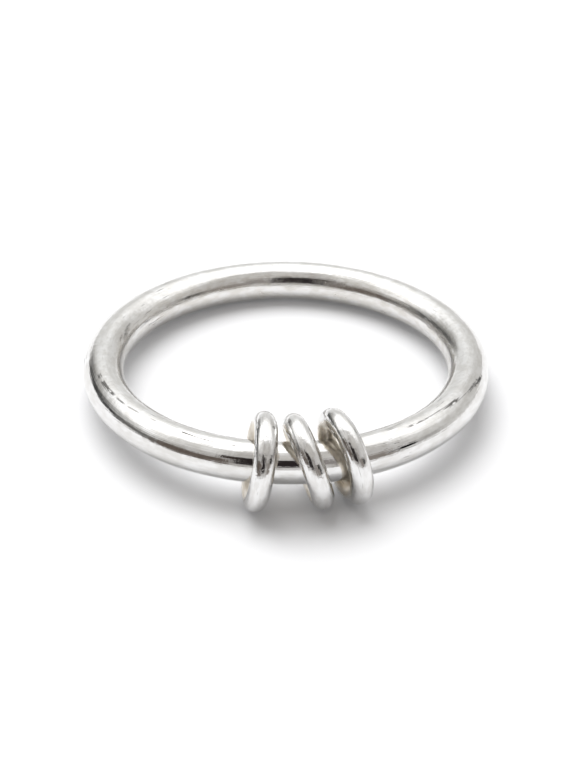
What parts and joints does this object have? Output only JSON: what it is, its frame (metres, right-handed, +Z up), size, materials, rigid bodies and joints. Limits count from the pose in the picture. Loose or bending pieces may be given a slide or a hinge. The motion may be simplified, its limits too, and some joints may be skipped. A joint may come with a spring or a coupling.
{
  "type": "spinner ring",
  "caption": "Polished silver finger ring of round wire, lying down, with small closed wire rings loose on its front that slide all the way round it.",
  "frame": {"origin": "on the surface that the ring lies on, under the middle of the whole object's box", "axes": "+Z up from the surface, +Y from the small rings at the front to the back of the band, +X to the right seen from the front"},
  "size_m": [0.0216, 0.023, 0.0051],
  "materials": {
    "band_silver": "hand-polished sterling silver, mirror bright with fine scratches",
    "small_ring_silver": "polished sterling silver, mirror bright"
  },
  "bodies": {
    "band": {"band": "band_silver"},
    "middle_ring": {"middle_ring": "small_ring_silver"},
    "left_ring": {"left_ring": "small_ring_silver"},
    "right_ring": {"right_ring": "small_ring_silver"}
  },
  "joints": [
    {"name": "middle_slide", "type": "hinge", "parent": "band", "child": "middle_ring", "pos_m": [0, 0.00077, 0.00173], "axis": [0, 0.0669, 0.9978], "continuous": true},
    {"name": "left_slide", "type": "hinge", "parent": "middle_ring", "child": "left_ring", "pos_m": [0, 0.00077, 0.00173], "axis": [0, 0.0669, 0.9978], "range_deg": [-155, 1.3]},
    {"name": "right_slide", "type": "hinge", "parent": "middle_ring", "child": "right_ring", "pos_m": [0, 0.00077, 0.00173], "axis": [0, 0.0669, 0.9978], "range_deg": [-1.5, 155]}
  ]
}
